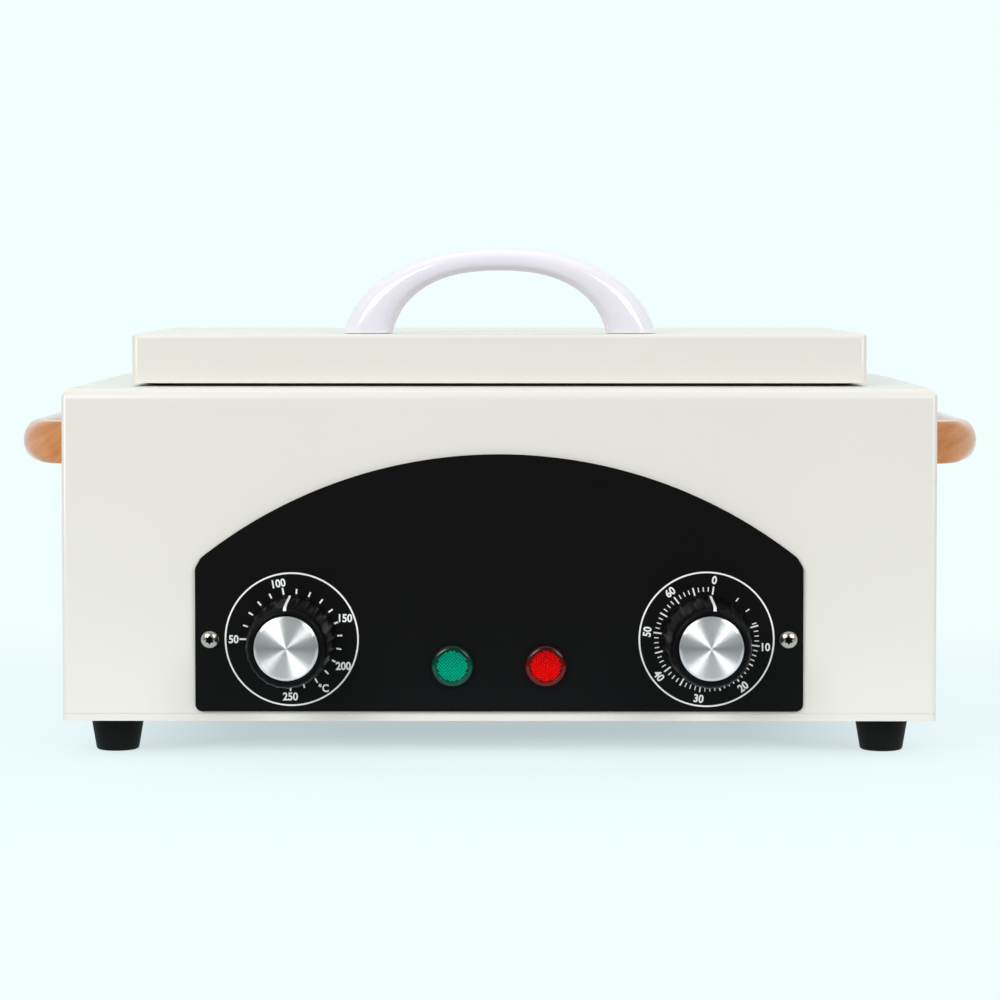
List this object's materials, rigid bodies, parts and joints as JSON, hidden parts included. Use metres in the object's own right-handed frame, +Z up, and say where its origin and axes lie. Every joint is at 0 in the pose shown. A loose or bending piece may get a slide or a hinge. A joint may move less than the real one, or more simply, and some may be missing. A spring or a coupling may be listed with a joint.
{
  "type": "dry heat sterilizer",
  "caption": "Bench dry heat sterilizer: enamelled steel cabinet with a hinged lid over a heated tray, arched control panel with dials and lamps, wooden side handles.",
  "frame": {"origin": "centre of the box round the whole object, on the bench top under the feet", "axes": "+X to the right along the long side when facing the dials, +Y from the dials to the back, +Z up"},
  "size_m": [0.34, 0.2006, 0.1744],
  "materials": {
    "ivory_enamel": "semi-gloss ivory powder enamel on folded steel sheet",
    "zinc_plate": "bright zinc plating, lightly dulled",
    "foot_rubber": "matt black moulded rubber",
    "black_panel": "satin black printed panel with pale dial rings and numbers",
    "polished_steel": "polished stainless screw heads",
    "knob_plastic": "glossy black moulded plastic with fluted sides",
    "spun_aluminium": "spun finish with circular lines",
    "green_lens": "transparent green moulded lens with a diamond pattern inside",
    "red_lens": "transparent red moulded lens with a diamond pattern inside",
    "dark_plastic": "black moulded plastic",
    "lacquered_wood": "turned hardwood under clear gloss lacquer",
    "stainless_steel": "drawn stainless sheet with a fine brushed finish",
    "fibre_board": "pressed mineral fibre board",
    "silicone": "black heat-proof silicone",
    "handle_plastic": "glossy white moulded plastic",
    "lead_sleeve": "woven glass sleeving"
  },
  "bodies": {
    "cabinet": {"cabinet_shell": "ivory_enamel", "base_plate": "zinc_plate", "heater_clamp": "zinc_plate", "foot_screw_front_left": "zinc_plate", "foot_screw_front_right": "zinc_plate", "foot_screw_rear_left": "zinc_plate", "foot_screw_rear_right": "zinc_plate", "thermostat_body": "zinc_plate", "thermostat_nut": "zinc_plate", "timer_body": "zinc_plate", "timer_nut": "zinc_plate", "inlet_screw_left": "zinc_plate", "inlet_screw_right": "zinc_plate", "side_handle_screw_left_front": "zinc_plate", "side_handle_screw_left_rear": "zinc_plate", "side_handle_screw_right_front": "zinc_plate", "side_handle_screw_right_rear": "zinc_plate", "foot_front_left": "foot_rubber", "foot_front_right": "foot_rubber", "foot_rear_left": "foot_rubber", "foot_rear_right": "foot_rubber", "control_panel": "black_panel", "panel_screw_left": "polished_steel", "panel_screw_right": "polished_steel", "green_lamp_lens": "green_lens", "red_lamp_lens": "red_lens", "green_lamp_holder": "dark_plastic", "red_lamp_holder": "dark_plastic", "power_inlet": "dark_plastic", "side_handle_left": "lacquered_wood", "side_handle_right": "lacquered_wood", "chamber_tub": "stainless_steel", "heater_element": "stainless_steel", "thermostat_bulb": "stainless_steel", "bulb_clip": "stainless_steel", "hinge_body_leaf_left": "stainless_steel", "hinge_body_leaf_right": "stainless_steel", "hinge_pin_left": "stainless_steel", "hinge_pin_right": "stainless_steel", "insulation_jacket": "fibre_board", "lead_inlet_to_timer": "lead_sleeve", "lead_timer_to_thermostat": "lead_sleeve", "lead_thermostat_to_heater": "lead_sleeve", "lead_inlet_to_heater": "lead_sleeve"},
    "lid": {"lid_shell": "ivory_enamel", "lid_liner": "stainless_steel", "lid_insulation": "fibre_board", "lid_seal": "silicone", "lid_handle": "handle_plastic", "lid_handle_screw_left": "zinc_plate", "lid_handle_screw_right": "zinc_plate", "hinge_lid_leaf_left": "stainless_steel", "hinge_lid_leaf_right": "stainless_steel"},
    "thermostat_dial": {"thermostat_shaft": "zinc_plate", "thermostat_knob": "knob_plastic", "thermostat_knob_cap": "spun_aluminium"},
    "timer_dial": {"timer_shaft": "zinc_plate", "timer_knob": "knob_plastic", "timer_knob_cap": "spun_aluminium"},
    "tray": {"instrument_tray": "stainless_steel"}
  },
  "joints": [
    {"name": "lid_hinge", "type": "hinge", "parent": "cabinet", "child": "lid", "pos_m": [0, 0.0864, 0.129], "axis": [-1, 0, 0], "range_deg": [0, 105]},
    {"name": "thermostat_turn", "type": "hinge", "parent": "cabinet", "child": "thermostat_dial", "pos_m": [-0.071, 0, 0.0403], "axis": [0, 1, 0], "range_deg": [-100, 184]},
    {"name": "timer_turn", "type": "hinge", "parent": "cabinet", "child": "timer_dial", "pos_m": [0.071, 0, 0.0403], "axis": [0, 1, 0], "range_deg": [0, 318]},
    {"name": "tray_lift", "type": "slide", "parent": "cabinet", "child": "tray", "axis": [0, 0, 1], "range_m": [0, 0.02]}
  ]
}
